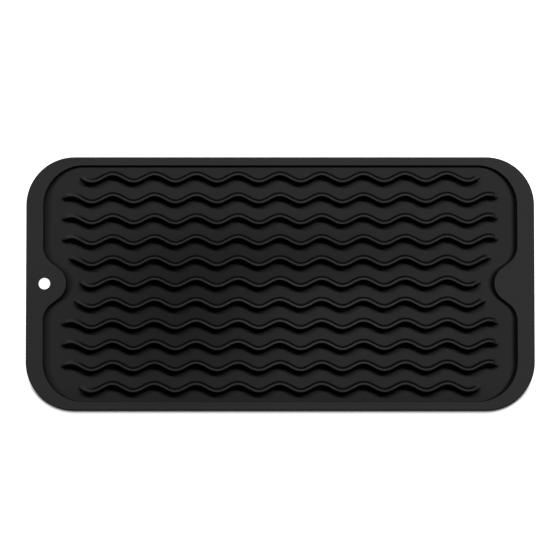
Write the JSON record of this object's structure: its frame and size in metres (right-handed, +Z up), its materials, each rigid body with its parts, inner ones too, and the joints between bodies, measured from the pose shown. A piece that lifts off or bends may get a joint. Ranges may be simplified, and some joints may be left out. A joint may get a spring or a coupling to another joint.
{
  "type": "silicone heat mat",
  "caption": "Flat rectangular black silicone heat mat with round corners, a raised rim, an inward tab at each end, a hanging hole in one tab and wavy ribs that carry a hot hair tool.",
  "frame": {"origin": "middle of the flat underside, on the surface the mat lies on", "axes": "+X along the mat's length, away from the hanging hole; +Y across its width; +Z up, out of the ribbed face"},
  "size_m": [0.3048, 0.1524, 0.005],
  "materials": {
    "black_silicone": "matt, with the fine even grain of a sandblasted mould"
  },
  "bodies": {
    "root": {"silicone_mat": "black_silicone"}
  },
  "joints": []
}
